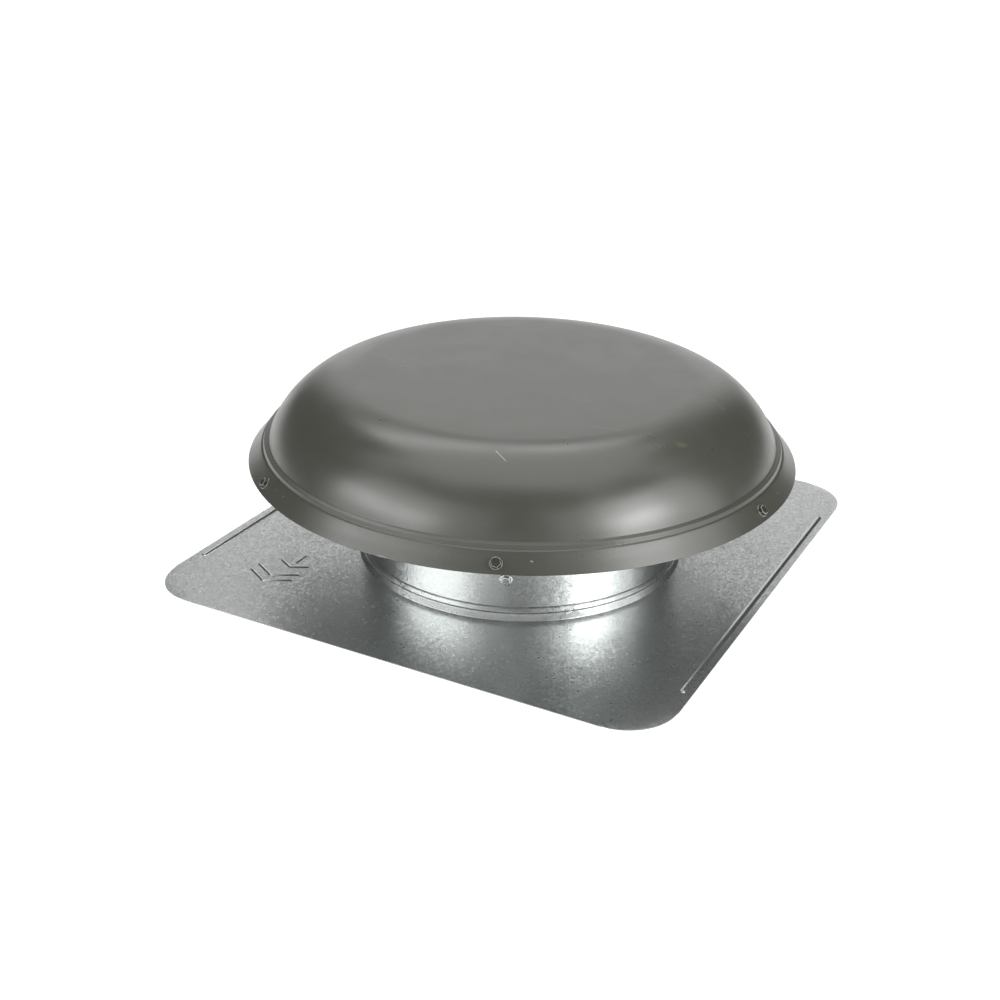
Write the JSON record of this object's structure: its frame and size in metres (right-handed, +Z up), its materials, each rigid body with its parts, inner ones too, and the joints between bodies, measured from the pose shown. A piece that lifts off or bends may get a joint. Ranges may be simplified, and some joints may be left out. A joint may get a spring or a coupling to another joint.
{
  "type": "powered attic fan",
  "caption": "Roof-mounted powered attic ventilator: a wide low domed hood over a round throat on a square flashing, with a motor-driven axial blade and a thermostat box inside.",
  "frame": {"origin": "on the fan's axis, at the flashing's underside where the throat's mouth opens", "axes": "+Z up along the fan's axis, -Y towards the up-slope edge of the flashing, +X along that edge"},
  "size_m": [0.606, 0.6317, 0.2073],
  "materials": {
    "hood_paint": "satin warm dark grey paint",
    "painted_screw": "dark painted hex washer heads",
    "galvanised": "galvanised sheet, fine spangle",
    "zinc": "bright zinc plating",
    "motor_paint": "semi-gloss black",
    "cast_aluminium": "die-cast, matt",
    "blade_aluminium": "mill finish sheet",
    "bright_steel": "ground",
    "core_steel": "laminated sheet stack",
    "copper": "enamelled copper wire, varnished",
    "lead_jacket": "black cable jacket",
    "black_rubber": "moulded",
    "thermostat_case": "moulded phenolic",
    "dial_plastic": "moulded, off-white"
  },
  "bodies": {
    "base": {"base_flashing": "galvanised", "throat": "galvanised", "hood": "hood_paint", "hood_screws": "painted_screw", "throat_screws": "zinc", "guard_screen": "galvanised", "screen_rivets": "blade_aluminium", "motor_mount": "galvanised", "motor_shell": "motor_paint", "lower_end_bell": "cast_aluminium", "upper_end_bell": "cast_aluminium", "lower_bearing": "bright_steel", "upper_bearing": "bright_steel", "stator_core": "core_steel", "stator_windings": "copper", "tie_bolts": "zinc", "tie_bolt_nuts": "zinc", "box_lid": "galvanised", "junction_box": "galvanised", "box_screws": "zinc", "thermostat_body": "thermostat_case", "terminal_block": "thermostat_case", "terminal_screws": "zinc", "motor_lead": "lead_jacket", "lead_bushings": "black_rubber", "hood_bracket_1": "galvanised", "hood_bracket_2": "galvanised", "hood_bracket_3": "galvanised", "hood_bracket_4": "galvanised", "hood_bracket_5": "galvanised", "hood_bracket_6": "galvanised"},
    "rotor": {"motor_shaft": "bright_steel", "rotor_core": "core_steel", "thrust_washers": "bright_steel", "fan_blade": "blade_aluminium", "blade_hub": "cast_aluminium", "hub_rivets": "blade_aluminium", "hub_set_screw": "bright_steel"},
    "dial": {"thermostat_dial": "dial_plastic"}
  },
  "joints": [
    {"name": "fan_spin", "type": "hinge", "parent": "base", "child": "rotor", "pos_m": [0, 0, 0.113], "axis": [0, 0, 1], "continuous": true},
    {"name": "thermostat_turn", "type": "hinge", "parent": "base", "child": "dial", "pos_m": [0.025, 0.1405, 0.0325], "axis": [0, 0, -1], "range_deg": [-135, 135]}
  ]
}
